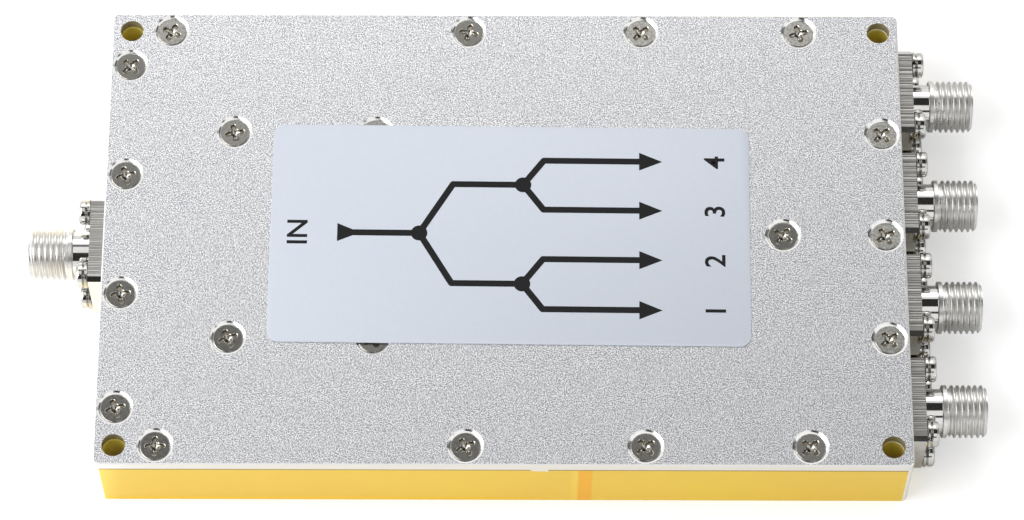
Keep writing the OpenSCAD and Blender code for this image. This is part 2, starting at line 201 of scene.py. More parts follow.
@dataclass(frozen=True)
class BlastedAluminium(Finish):
    """Aluminium sheet, bead blasted: a pale glittering grain, bright cut edges, turned countersinks, and hole
    walls painted olive for reflection and shade.
    """

    crest: str = "#F8F8FA"
    pit: str = "#939498"
    cut: str = "#F4F3F1"
    # Painted reflection and shade: the hole walls are olive and half matt instead of bare aluminium
    bore: str = "#B4AC88"
    # The blasted grain is finer than a tenth of a millimetre; it is drawn a little coarser, so that it shows
    grain: float = 0.132
    grain_detail: float = 2.0
    grain_rough: float = 0.6
    grain_span: Span = (0.44, 0.56)
    grain_height: float = 0.008
    bump: float = 0.3
    rough_top: float = 0.42
    rough_sink: float = 0.16
    rough_edge: float = 0.5
    bore_metal: float = 0.3
    half: Span = (48.5, 30.0)
    edge: float = 0.2
    # The upward share of a normal between which a face turns flat, and below which it is upright
    flat: Span = (0.9, 0.99)
    upright: float = 0.3

    def dress(self, add: Adder, shader: Node) -> None:
        """Lays the grain on the upper face, and leaves the cut edges satin and the countersinks bright.

        Args:
            add: Adds a node to the material's tree.
            shader: Its Principled shader.
        """
        coords = add("TexCoord").outputs
        grain = add("TexNoise", {"Scale": per(self.grain), "Detail": self.grain_detail,
                                 "Roughness": self.grain_rough}, {"Vector": coords["Object"]})
        level = add("MapRange", {"From Min": self.grain_span[0], "From Max": self.grain_span[1]},
                    {"Value": grain})
        blasted = add("Mix", {"data_type": "RGBA", 6: linear(self.pit), 7: linear(self.crest)}, {0: level})
        *_, up = add("SeparateXYZ", {}, {0: coords["Normal"]}).outputs
        top = add("MapRange", {"From Min": self.flat[0], "From Max": self.flat[1]}, {"Value": up})
        colour = add("Mix", {"data_type": "RGBA", 6: linear(self.cut)}, {0: top, 7: blasted})
        place = add("VectorMath", {"operation": "ABSOLUTE"}, {0: coords["Object"]})
        x, y, _ = add("SeparateXYZ", {}, {0: place}).outputs
        beyond = [add("Math", {"operation": "GREATER_THAN", 1: (half - self.edge) * MM}, {0: side})
                  for side, half in zip((x, y), self.half)]
        outer = add("Math", {"operation": "MAXIMUM"}, dict(enumerate(beyond)))
        upright = add("Math", {"operation": "LESS_THAN", 1: self.upright}, {0: up})
        hole = add("Math", {"operation": "GREATER_THAN"}, {0: upright, 1: outer})
        # Painted reflection and shade: the hole walls take an olive, half matt colour
        whole = add("Mix", {"data_type": "RGBA", 7: linear(self.bore)}, {0: hole, 6: colour})
        metal = add("MapRange", {"To Min": 1.0, "To Max": self.bore_metal}, {"Value": hole})
        cut = add("MapRange", {"To Min": self.rough_sink, "To Max": self.rough_edge}, {"Value": outer})
        rough = add("Mix", {3: self.rough_top}, {0: top, 2: cut})
        depth = add("Math", {"operation": "MULTIPLY", 1: self.bump}, {0: top})
        bump = add("Bump", {"Distance": self.grain_height * MM}, {"Strength": depth, "Height": grain})
        feed(shader, {"Metallic": metal, "Base Color": whole, "Roughness": rough, "Normal": bump})


@dataclass(frozen=True)
class YellowChromate(Finish):
    """Milled aluminium, yellow chromated in a bath: a satin gold film in soft tones, with a rack mark, and
    painted light and shade.
    """

    # Painted light: the film is graded from the input end to the output end, to match how light falls along
    # the housing
    near: str = "#F8D660"
    far: str = "#FDDF50"
    # Painted light: the end faces are paler, which holds back the yellow that they throw into the gaps
    # between the flanges
    ends: str = "#F8DC7C"
    blush: str = "#F0C272"
    mark: str = "#FFC53A"
    # Painted highlight: a paler strip beside the rack mark, on the input's side
    glint: str = "#FFE264"
    # Painted highlight: a lighter, deeper yellow strip low along the front face, from the input end to just
    # past the middle
    edge: str = "#FFD82C"
    # Painted shadow: a dark line along the top of the front face, under the cover's edge
    joint_shadow: str = "#9C8646"
    # Painted light: the walls of the corner holes are paler and half matt, so that the holes read lighter
    bore: str = "#FFF07E"
    # Painted highlight: a bright arc on the rims of the holes at the output end
    rim_highlight: str = "#FFF8E0"
    bare: str = "#F4F0E4"
    # Painted highlight: the rounded upright corners are drawn near white
    corner: str = "#FFFDF6"
    reach: float = 48.5
    blush_size: float = 30.0
    blush_detail: float = 3.0
    blush_span: Span = (0.45, 0.75)
    blush_share: float = 0.35
    # Where each patch starts and ends along X or Z, and the width over which it fades
    mark_x: Triple = (8.87, 10.54, 0.2)
    glint_x: Triple = (8.15, 8.87, 0.7)
    edge_x: Triple = (-49.0, 5.0, 8.0)
    edge_z: Triple = (0.45, 1.15, 0.4)
    joint_shadow_z: Triple = (9.76, 10.1, 0.05)
    nick_x: Triple = (3.2, 5.3, 0.1)
    rim_highlight_x: Triple = (0.0, 60.0, 1.0)
    nick_z: float = 9.45
    nick_grain: float = 0.7
    nick_detail: float = 2.0
    nick_depth: float = 0.9
    hole: Span = (46.1, 27.6)
    hole_r: float = 1.75
    # Shares of a normal from which a face is the front or a rim, and between which it turns to an end or
    # round a corner
    front: float = 0.9
    rim: float = 0.3
    end_turn: Span = (0.5, 1.0)
    corner_turn: Span = (0.1, 0.2)
    rough: float = 0.36
    rough_spread: float = 0.05
    bore_metal: float = 0.15

    def dress(self, add: Adder, shader: Node) -> None:
        """Grades the film along the housing as painted light, and marks its front face, its corners and its
        corner holes, partly with painted highlights and a painted shadow.

        Args:
            add: Adds a node to the material's tree.
            shader: Its Principled shader.
        """
        coords = add("TexCoord").outputs
        x, _, z = add("SeparateXYZ", {}, {0: coords["Object"]}).outputs
        normal_x, normal_y, normal_z = add("SeparateXYZ", {}, {0: coords["Normal"]}).outputs
        along = add("MapRange", {"From Min": -self.reach * MM, "From Max": self.reach * MM}, {"Value": x})
        # Painted light: the grade of the film from the input end to the output end
        film = add("Mix", {"data_type": "RGBA", 6: linear(self.near), 7: linear(self.far)}, {0: along})
        cloud = add("TexNoise", {"Scale": per(self.blush_size), "Detail": self.blush_detail},
                    {"Vector": coords["Object"]})
        share = add("MapRange", {"From Min": self.blush_span[0], "From Max": self.blush_span[1],
                                 "To Max": self.blush_share}, {"Value": cloud})
        ragged = add("TexNoise", {"Scale": per(self.nick_grain), "Detail": self.nick_detail},
                     {"Vector": coords["Object"]})
        lift = add("Math", {"operation": "MULTIPLY_ADD", 1: self.nick_depth * MM}, {0: ragged, 2: z})
        nick_top = (self.nick_z + self.nick_depth / 2) * MM
        high = add("Math", {"operation": "GREATER_THAN", 1: nick_top}, {0: lift})
        front = add("Math", {"operation": "LESS_THAN", 1: -self.front}, {0: normal_y})
        rim = add("Math", {"operation": "GREATER_THAN", 1: self.rim}, {0: normal_z})
        across = add("Math", {"operation": "ABSOLUTE"}, {0: normal_x})
        skew = add("Math", {"operation": "MULTIPLY"}, {0: across, 1: normal_y})
        between = add("Math", {"operation": "ABSOLUTE"}, {0: skew})
        end, corner = (add("MapRange", {"From Min": first, "From Max": last}, {"Value": turn})
                       for turn, (first, last) in ((across, self.end_turn), (between, self.corner_turn)))
        bore = self.bores(add, coords["Object"])
        colour = self.patch(add, film, self.blush, [share])
        for tint, masks, spans in (
                # painted light: paler end faces
                (self.ends, [end], []),
                # painted highlight low along the front face
                (self.edge, [front], [(z, self.edge_z), (x, self.edge_x)]),
                # painted highlight beside the rack mark
                (self.glint, [front], [(x, self.glint_x)]),
                (self.mark, [front], [(x, self.mark_x)]),
                # painted shadow under the cover's edge
                (self.joint_shadow, [front], [(z, self.joint_shadow_z)]),
                (self.bare, [front, high], [(x, self.nick_x)]),
                # painted highlight on the rounded corners
                (self.corner, [corner], []),
                # painted light in the corner holes
                (self.bore, [bore], []),
                # painted highlight on the rims of the holes at the output end
                (self.rim_highlight, [bore, rim], [(x, self.rim_highlight_x)])):
            masks += [self.within(add, value, span) for value, span in spans]
            colour = self.patch(add, colour, tint, masks)
        metal = add("MapRange", {"To Min": 1.0, "To Max": self.bore_metal}, {"Value": bore})
        rough = add("MapRange", {"To Min": self.rough - self.rough_spread,
                                 "To Max": self.rough + self.rough_spread}, {"Value": ragged})
        feed(shader, {"Metallic": metal, "Base Color": colour, "Roughness": rough})

    def bores(self, add: Adder, place: Source) -> Node:
        """Masks the walls of the four corner holes.

        Args:
            add: Adds a node to the material's tree.
            place: The place on the housing.

        Returns:
            The mask, 0 or 1.
        """
        plan = add("VectorMath", {"operation": "MULTIPLY", 1: (1.0, 1.0, 0.0)}, {0: place})
        quarter = add("VectorMath", {"operation": "ABSOLUTE"}, {0: plan})
        middle = (self.hole[0] * MM, self.hole[1] * MM, 0.0)
        off = add("VectorMath", {"operation": "DISTANCE", 1: middle}, {0: quarter})
        return add("Math", {"operation": "LESS_THAN", 1: self.hole_r * MM}, {0: off})

    def within(self, add: Adder, value: Source, span: Triple) -> Node:
        """Masks where a coordinate lies inside a span.

        Args:
            add: Adds a node to the material's tree.
            value: The coordinate, in metres.
            span: The span's two ends, and the width over which the mask fades.

        Returns:
            The mask, from 0 to 1.
        """
        start, stop, soft = span
        middle, half = (start + stop) / 2, (stop - start) / 2
        off = add("Math", {"operation": "SUBTRACT", 1: middle * MM}, {0: value})
        far = add("Math", {"operation": "ABSOLUTE"}, {0: off})
        return add("MapRange", {"From Min": (half + soft / 2) * MM, "From Max": (half - soft / 2) * MM},
                   {"Value": far})

    def patch(self, add: Adder, under: Source, colour: str, masks: Sequence[Source]) -> Node:
        """Lays a colour over another where all its masks agree.

        Args:
            add: Adds a node to the material's tree.
            under: The colour below.
            colour: The colour on top, as sRGB hex.
            masks: The masks.

        Returns:
            The colour of both.
        """
        share = reduce(lambda a, b: add("Math", {"operation": "MULTIPLY"}, {0: a, 1: b}), masks)
        return add("Mix", {"data_type": "RGBA", 7: linear(colour)}, {0: share, 6: under})


@dataclass(frozen=True)
class Metal(Finish):
    """A plain or plated metal: one colour that tarnishes in soft spots, with a gloss that varies a little."""

    colour: str
    tarnish: str
    rough: float
    rough_spread: float
    spot: float
    # Stretch of the pattern across the three axes: a small number draws it out into lines
    grain: Triple = (1.0, 1.0, 1.0)
    relief: float = 0.0
    detail: float = 3.0
    level: Span = (0.38, 0.62)
    bump: float = 0.5

    def dress(self, add: Adder, shader: Node) -> None:
        """Tarnishes the metal in spots or lines.

        Args:
            add: Adds a node to the material's tree.
            shader: Its Principled shader.
        """
        coords = add("TexCoord").outputs
        drawn = add("VectorMath", {"operation": "MULTIPLY", 1: self.grain}, {0: coords["Object"]})
        spots = add("TexNoise", {"Scale": per(self.spot), "Detail": self.detail}, {"Vector": drawn})
        level = add("MapRange", {"From Min": self.level[0], "From Max": self.level[1]}, {"Value": spots})
        colour = add("Mix", {"data_type": "RGBA", 6: linear(self.colour), 7: linear(self.tarnish)},
                     {0: level})
        rough = add("MapRange", {"To Min": self.rough - self.rough_spread,
                                 "To Max": self.rough + self.rough_spread}, {"Value": level})
        shader.inputs["Metallic"].default_value = 1.0
        feed(shader, {"Base Color": colour, "Roughness": rough})
        if self.relief:
            bump = add("Bump", {"Strength": self.bump, "Distance": self.relief * MM}, {"Height": spots})
            feed(shader, {"Normal": bump})


@dataclass(frozen=True)
class Plastic(Finish):
    """A moulded, printed or fired non-metal: a colour with a fine mottle and a little relief."""

    colour: str
    mottle: str
    rough: float
    ior: float
    spot: float
    relief: float
    detail: float = 3.0
    bump: float = 0.3

    def dress(self, add: Adder, shader: Node) -> None:
        """Mottles the colour and gives the surface its skin.

        Args:
            add: Adds a node to the material's tree.
            shader: Its Principled shader.
        """
        coords = add("TexCoord").outputs
        spots = add("TexNoise", {"Scale": per(self.spot), "Detail": self.detail},
                    {"Vector": coords["Object"]})
        colour = add("Mix", {"data_type": "RGBA", 6: linear(self.colour), 7: linear(self.mottle)}, {0: spots})
        bump = add("Bump", {"Strength": self.bump, "Distance": self.relief * MM}, {"Height": spots})
        shader.inputs["Roughness"].default_value = self.rough
        shader.inputs["IOR"].default_value = self.ior
        feed(shader, {"Base Color": colour, "Normal": bump})


@dataclass(frozen=True)
class WovenLaminate(Finish):
    """Resin laminate on woven glass, pressed: a green sheet through which the weave shows faintly."""

    resin: str = "#3F6B4E"
    glass: str = "#6E9277"
    thread: float = 0.5
    # Length of one band of the wave pattern at a scale of 1
    band: float = math.tau / 20
    sway: float = 0.6
    rough: float = 0.4
    bump: float = 0.2
    relief: float = 0.02

    def dress(self, add: Adder, shader: Node) -> None:
        """Crosses two sets of threads.

        Args:
            add: Adds a node to the material's tree.
            shader: Its Principled shader.
        """
        coords = add("TexCoord").outputs
        warp, weft = (add("TexWave", {"bands_direction": axis, "Scale": per(self.thread) * self.band,
                                      "Distortion": self.sway}, {"Vector": coords["Object"]})
                      for axis in ("X", "Y"))
        weave = add("Math", {"operation": "MULTIPLY"}, {0: warp.outputs["Fac"], 1: weft.outputs["Fac"]})
        colour = add("Mix", {"data_type": "RGBA", 6: linear(self.resin), 7: linear(self.glass)}, {0: weave})
        bump = add("Bump", {"Strength": self.bump, "Distance": self.relief * MM}, {"Height": weave})
        shader.inputs["Roughness"].default_value = self.rough
        feed(shader, {"Base Color": colour, "Normal": bump})


# A cover screw is steel, nickel plated in a barrel: grey and satin, with darker spots
BARREL_NICKEL = Metal("barrel_plated_nickel", "#C2C1BC", "#A5A49D", 0.18, 0.04, 0.35)
# In a screw's recess the plating is drawn darker, browner and dull
DARK_RECESS_NICKEL = Metal("dark_recess_plated_nickel", "#918979", "#787062", 0.36, 0.05, 0.4)
# A jack's turned barrel is brass under white bronze: it mirrors the room with hardly a tint
WHITE_BRONZE = Metal("turned_white_bronze", "#E6E5E3", "#DBDAD7", 0.3, 0.03, 2.0)
# A jack's flange was sawn and milled: fine lines run along the jack, dark and light
MILLED_BRONZE = Metal("milled_white_bronze", "#A5A4A1", "#918F8B", 0.4, 0.06, 0.12,
                      grain=(0.02, 1.0, 0.02), relief=0.0015)
# A jack's neck and its flange's ends were left burnished by the tool: they mirror crisply
BURNISHED_BRONZE = Metal("burnished_white_bronze", "#E4E3E1", "#DAD9D6", 0.08, 0.02, 2.0)
# A pan-head screw is bright plated: it mirrors the room
BRIGHT_NICKEL = Metal("bright_plated_nickel", "#DAD9D6", "#C8C7C3", 0.1, 0.03, 1.2)
# A split washer is spring wire, rolled and plated: bright, with duller patches
SPRING_STEEL = Metal("plated_spring_steel", "#CFCECA", "#B8B6B1", 0.16, 0.05, 0.8)
# A contact is bronze, turned and gold plated: warm and satin
GOLD_PLATE = Metal("gold_plated_bronze", "#E2B85C", "#D1A24A", 0.2, 0.05, 0.4)
# A line on the board is copper, left dull and pinkish by the etching bath
ETCHED_COPPER = Metal("etched_copper", "#C9825A", "#B5704A", 0.32, 0.06, 0.5)
# Solder that flowed and set: grey, bright in places and gently uneven
SOFT_SOLDER = Metal("flowed_tin_solder", "#C9CACB", "#ADAEB0", 0.24, 0.08, 0.6, relief=0.02)
# The label is polyester film with a smooth, faintly blue-white coat, and its ink is matt black
LABEL_FILM = Plastic("coated_polyester_film", "#CDD3DD", "#C8CED9", 0.38, 1.5, 0.6, 0.004)
LABEL_INK = Plastic("screen_printed_ink", "#101012", "#18181A", 0.55, 1.3, 0.3, 0.004)
# An insulator is fluoropolymer, turned from rod: milky white and waxy
FLUOROPOLYMER = Plastic("turned_fluoropolymer", "#F1EFE8", "#E6E3DA", 0.48, 1.38, 0.4, 0.008)
# A chip resistor is ceramic under a black glaze: dark, with a soft gloss
CHIP_CERAMIC = Plastic("glazed_chip_ceramic", "#1D1D1F", "#2A2A2C", 0.35, 1.6, 0.2, 0.005)


def polar(radius: float, angle: float, z: float) -> Vector:
    """A point at a radius and an angle in radians about Z."""
    return Vector((radius * math.cos(angle), radius * math.sin(angle), z))


def circle(radius: float, z: float, count: int, middle: Sequence[float] = (0.0, 0.0)) -> Ring:
    """A ring of evenly spaced points about an upright line."""
    return [Vector((*middle, 0.0)) + polar(radius, math.tau * i / count, z) for i in range(count)]


class Sketch:
    """The surfaces of one piece, gathered in millimetres before they become an object."""

    def __init__(self) -> None:
        """Starts with no surface."""
        self.mesh = bmesh.new()

    def row(self, ring: Ring, at: Matrix) -> list[bmesh.types.BMVert]:
        """Adds a ring's points at a place."""
        return [self.mesh.verts.new(at @ p) for p in ring]

    def loft(self, rings: Sequence[Ring], at: Matrix = Matrix(), capped: bool = True, twist: int = 0,
             marks: dict[int, int] | None = None) -> None:
        """Joins rings of equal count into a skin.

        Args:
            rings: The rings, in order.
            at: Where the skin goes.
            capped: Whether the first and the last ring are closed.
            twist: How many rings further on each ring's end meets a start, as on a thread.
            marks: The number of the finish from a ring to the next, by the ring's number.
        """
        rows = [self.row(ring, at) for ring in rings]
        closed = [row + [rows[min(k + twist, len(rows) - 1)][0]] for k, row in enumerate(rows)]
        for k, (low, high) in enumerate(zip(closed, closed[1:])):
            for j in range(len(rings[0])):
                corners = dict.fromkeys((low[j], low[j + 1], high[j + 1], high[j]))
                self.mesh.faces.new(list(corners)).material_index = (marks or {}).get(k, 0)
        if capped:
            self.mesh.faces.new(rows[0][::-1])
            self.mesh.faces.new(rows[-1])

    def plate(self, outlines: Sequence[Ring], high: float, at: Matrix, mark: int,
              wall_mark: Callable[[Vector, Vector], int]) -> None:
        """Builds a flat plate that stands on z = 0 from its outline and its holes.

        Args:
            outlines: The outer outline and then each hole's, at z = 0.
            high: The upper face's height.
            at: Where the plate goes.
            mark: The number of the faces' finish.
            wall_mark: Gives the number of a wall's finish from the ends of its outline.
        """
        rims: tuple[list[bmesh.types.BMEdge], ...] = ([], [])
        for outline in outlines:
            lower, upper = (self.row(outline, at @ Matrix.Translation((0, 0, z))) for z in (0.0, high))
            for rim, row in zip(rims, (lower, upper)):
                rim += [self.mesh.edges.new((row[j - 1], row[j])) for j in range(len(row))]
            for j in range(len(lower)):
                wall = self.mesh.faces.new((lower[j - 1], lower[j], upper[j], upper[j - 1]))
                wall.material_index = wall_mark(outline[j - 1], outline[j])
        for rim in rims:
            filled = bmesh.ops.triangle_fill(self.mesh, use_beauty=True, use_dissolve=False, edges=rim)
            for face in filled["geom"]:
                if isinstance(face, bmesh.types.BMFace):
                    face.material_index = mark

    def flat(self, shapes: Sequence[Ring], low: float, high: float, at: Matrix) -> None:
        """Builds a thin solid that covers overlapping flat shapes once.

        Args:
            shapes: Closed outlines.
            low: The lower face's height.
            high: The upper face's height.
            at: Where the solid goes.
        """
        points = [p.to_2d() for shape in shapes for p in shape]
        starts = [sum(len(s) for s in shapes[:i]) for i in range(len(shapes))]
        loops = [list(range(a, a + len(s))) for a, s in zip(starts, shapes)]
        spots, _, cells, *_ = delaunay_2d_cdt(points, [], loops, INSIDE_ONLY, CLOSEST)
        lower, upper = (self.row([Vector((p.x, p.y, z)) for p in spots], at) for z in (low, high))
        for cell in cells:
            for row, turn in ((lower, -1), (upper, 1)):
                self.mesh.faces.new([row[i] for i in cell[::turn]])
        rim = dict.fromkeys(pair for cell in cells for pair in zip(cell, cell[1:] + cell[:1]))
        for a, b in rim:
            if (b, a) not in rim:
                self.mesh.faces.new((lower[a], lower[b], upper[b], upper[a]))

    def words(self, text: str, height: float, thick: float, at: Matrix) -> None:
        """Adds raised figures or letters.

        Args:
            text: What is written.
            height: The height of a capital.
            thick: The thickness of the figures.
            at: Where the middle of their lower face goes.
        """
        curve = bpy.data.curves.new("figures", "FONT")
        curve.body, curve.size = text, height / CAPITAL_H
        curve.align_x, curve.align_y = "CENTER", "CENTER"
        curve.offset, curve.extrude, curve.resolution_u = height * BOLDER, thick / 2, CURVE_STEPS
        holder = bpy.data.objects.new("figures", curve)
        made = bpy.data.meshes.new_from_object(holder)
        made.transform(at @ Matrix.Translation((0, 0, thick / 2)))
        self.mesh.from_mesh(made)
        bpy.data.objects.remove(holder)
        bpy.data.curves.remove(curve)
        bpy.data.meshes.remove(made)

    def piece(self, name: str, finishes: Sequence[Finish], slot: Slot, nodes: Sequence[str] = (),
              crease: float = 32.0) -> None:
        """Turns the surfaces into a piece that rides on the body.

        Args:
            name: The piece's name.
            finishes: Its finishes, by number.
            slot: The record's material slot; it is not used.
            nodes: The CAD nodes that it stands for.
            crease: The angle from which an edge is sharp, in degrees.
        """
        bmesh.ops.remove_doubles(self.mesh, verts=self.mesh.verts, dist=MERGE)
        bmesh.ops.recalc_face_normals(self.mesh, faces=self.mesh.faces)
        bmesh.ops.scale(self.mesh, vec=(MM, MM, MM), verts=self.mesh.verts)
        for face in self.mesh.faces:
            face.smooth = True
        mesh = bpy.data.meshes.new(name)
        self.mesh.to_mesh(mesh)
        self.mesh.free()
        mesh.set_sharp_from_angle(angle=math.radians(crease))
        for finish in finishes:
            mesh.materials.append(finish.material())
        made = bpy.data.objects.new(name, mesh)
        bpy.context.scene.collection.objects.link(made)
        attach(made, BODY)
        if nodes:
            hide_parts(*nodes)
        LOG.info("%s: %d faces", name, len(mesh.polygons))


def dress_node(name: str, finish: Finish) -> None:
    """Gives a CAD node its finish.

    Args:
        name: The node.
        finish: The finish.
    """
    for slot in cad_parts[name].material_slots:
        slot.material = finish.material()
    LOG.info("%s: %s", name, finish.name)


@dataclass
class PhotoCamera:
    """The camera as it stood for the photograph."""

    focal_px: float = 4161.0
    distance: float = 501.43
    azimuth: float = -0.015
    elevation: float = 65.304
    roll: float = 0.177
    target: Triple = (0.935, -3.4, 11.5)
    clip: Span = (0.01, 20.0)

    def build(self) -> None:
        """Places the camera and makes it the scene's."""
        a, e = math.radians(self.azimuth), math.radians(self.elevation)
        back = Vector((math.sin(a) * math.cos(e), -math.cos(a) * math.cos(e), math.sin(e)))
        right = Matrix.Rotation(math.radians(self.roll), 3, back) @ Vector((math.cos(a), math.sin(a), 0.0))
        axes = Matrix((right, back.cross(right), back)).transposed()
        data = bpy.data.cameras.new("photo_camera")
        data.sensor_width = SENSOR_W
        data.lens = self.focal_px * SENSOR_W / IMAGE_W
        data.clip_start, data.clip_end = self.clip
        camera = bpy.data.objects.new("photo_camera", data)
        place = (Vector(self.target) + back * self.distance) * MM
        camera.matrix_world = Matrix.Translation(place) @ axes.to_4x4()
        bpy.context.scene.collection.objects.link(camera)
        bpy.context.scene.camera = camera


@dataclass(frozen=True)
class Flag:
    """A dark screen in the white room that only bright metal mirrors; its sizes are angles in degrees."""

    towards: Triple
    across: float
    along: float
    soft: float
    depth: float

    def shade(self, add: Adder, way: Source) -> Node:
        """Works out how much light the screen leaves.

        Args:
            add: Adds a node to the world's tree.
            way: The direction that is looked in.

        Returns:
            The share of light, from 0 to 1.
        """
        middle = Vector(self.towards).normalized()
        level = Vector((1, 0, 0)) if abs(middle.x) < abs(middle.z) else Vector((0, 1, 0))
        side = (level - middle * middle.dot(level)).normalized()
        ahead = add("VectorMath", {"operation": "DOT_PRODUCT", 1: middle}, {0: way})
        masks = [add("Math", {"operation": "GREATER_THAN", 1: 0.0}, {0: ahead})]
        for axis, half in ((side, self.across), (middle.cross(side), self.along)):
            off = add("VectorMath", {"operation": "DOT_PRODUCT", 1: axis}, {0: way})
            far = add("Math", {"operation": "ABSOLUTE"}, {0: off})
            inner, outer = (math.sin(math.radians(half + sign * self.soft / 2)) for sign in (-1, 1))
            masks.append(add("MapRange", {"interpolation_type": "SMOOTHSTEP", "From Min": outer,
                                          "From Max": inner}, {"Value": far}))
        both = reduce(lambda a, b: add("Math", {"operation": "MULTIPLY"}, {0: a, 1: b}), masks)
        return add("MapRange", {"To Min": 1.0, "To Max": 1.0 - self.depth}, {"Value": both})


@dataclass(frozen=True)
class Lamp:
    """A soft box that is aimed at the object."""

    name: str
    place: Triple
    size: Span
    power: float

    def build(self) -> None:
        """Hangs the lamp and turns it to the object."""
        data = bpy.data.lights.new(self.name, "AREA")
        data.shape, data.size, data.size_y = "RECTANGLE", *self.size
        data.energy = self.power
        lamp = bpy.data.objects.new(self.name, data)
        lamp.location = self.place
        lamp.rotation_euler = Vector(self.place).to_track_quat("Z", "Y").to_euler()
        bpy.context.scene.collection.objects.link(lamp)


@dataclass
class Studio:
    """A white room with a pale floor and soft lamps, where bright metal mirrors a few dark screens."""

    floor_size: float = 6.0
    floor_colour: str = "#ECECEC"
    floor_lift: float = 0.42
    # The floor lies a hair below the object, so that the two don't share a plane
    floor_z: float = -0.05
    # The floor is brighter to mirrors on the key lamp's side, most of all round the input, and dim beyond the
    # outputs: where each change starts and ends along X, and what it adds before and after
    mirror_lift: tuple[Quad, Quad] = ((-40.0, 40.0, 0.1, 0.03), (-50.0, -46.0, 0.4, 0.0))
    fill: float = 0.55
    lamps: tuple[Lamp, ...] = (
        Lamp("key_softbox", (-0.45, -0.12, 0.42), (0.55, 0.55), 3.0),
        Lamp("back_softbox", (-0.04, 0.62, 0.58), (0.5, 0.35), 1.1),
    )
    flags: tuple[Flag, ...] = (
        # Over the outputs' side, the black band along each neck
        Flag((0.36, 0.045, 1.0), 21.0, 20.3, 3.0, 0.97),
        # In front over the input's side, the black band along its neck
        Flag((-0.3, -0.8, 1.0), 15.0, 22.0, 3.0, 0.97),
        # Beside that, the black patch on each output flange's chamfer
        Flag((0.13, -0.76, 0.66), 7.0, 5.5, 3.0, 0.95),
        # Above the front, the grey of the flat screw heads
        Flag((-0.12, 0.372, 1.0), 11.0, 5.0, 5.5, 0.9),
        # Low beyond the outputs, the black patch on each pan head's shoulder and the dark ends of the
        # countersinks' bright crescents
        Flag((0.949, 0.237, 0.242), 17.0, 20.0, 5.0, 0.93),
    )

    def build(self) -> None:
        """Makes the room, the floor and the lamps."""
        bpy.context.scene.view_settings.view_transform = "Standard"
        self.build_world()
        self.build_floor()
        for lamp in self.lamps:
            lamp.build()

    def build_world(self) -> None:
        """Lights from all round; white to the camera, white with dark screens to bright metal."""
        world = bpy.data.worlds.new("white_room")
        bpy.context.scene.world = world
        world.use_nodes = True
        world.node_tree.nodes.clear()
        add = partial(add_node, world.node_tree)
        ray = add("LightPath").outputs
        way = add("TexCoord").outputs["Generated"]
        white, fill, room = (add("Background", {"Color": linear(WHITE), "Strength": strength})
                             for strength in (1.0, self.fill, 1.0))
        shares = [flag.shade(add, way) for flag in self.flags]
        light = reduce(lambda a, b: add("Math", {"operation": "MULTIPLY"}, {0: a, 1: b}), shares)
        feed(room, {"Strength": light})
        mirrored = add("Math", {"operation": "MAXIMUM"},
                       {0: ray["Is Glossy Ray"], 1: ray["Is Transmission Ray"]})
        lit = add("MixShader", {}, {0: mirrored, 1: fill, 2: room})
        seen = add("MixShader", {}, {0: ray["Is Camera Ray"], 1: lit, 2: white})
        add("OutputWorld", {}, {"Surface": seen})

    def build_floor(self) -> None:
        """Lays a pale floor that is white to the camera and keeps the shadow."""
        half, low = self.floor_size / 2, self.floor_z * MM
        corners = [(-half, -half, low), (half, -half, low), (half, half, low), (-half, half, low)]
        mesh = bpy.data.meshes.new("studio_floor")
        mesh.from_pydata(corners, [], [range(len(corners))])
        paper = bpy.data.materials.new("white_paper")
        paper.use_nodes = True
        paper.node_tree.nodes.clear()
        add = partial(add_node, paper.node_tree)
        ray = add("LightPath").outputs
        x, *_ = add("SeparateXYZ", {}, {0: add("TexCoord").outputs["Object"]}).outputs
        lifts = [add("MapRange", {"interpolation_type": "SMOOTHSTEP", "From Min": start * MM,
                                  "From Max": stop * MM, "To Min": before, "To Max": after}, {"Value": x})
                 for start, stop, before, after in self.mirror_lift]
        bright = add("Math", {"operation": "ADD"}, dict(enumerate(lifts)))
        mirrored = add("Math", {"operation": "MULTIPLY"}, {0: ray["Is Glossy Ray"], 1: bright})
        lift = add("Math", {"operation": "MULTIPLY_ADD", 1: self.floor_lift},
                   {0: ray["Is Camera Ray"], 2: mirrored})
        matt = add("BsdfDiffuse", {"Color": linear(self.floor_colour)})
        glow = add("Emission", {}, {"Strength": lift})
        both = add("AddShader", {}, {0: matt, 1: glow})
        add("OutputMaterial", {}, {"Surface": both})
        mesh.materials.append(paper)
        floor = bpy.data.objects.new("studio_floor", mesh)
        bpy.context.scene.collection.objects.link(floor)


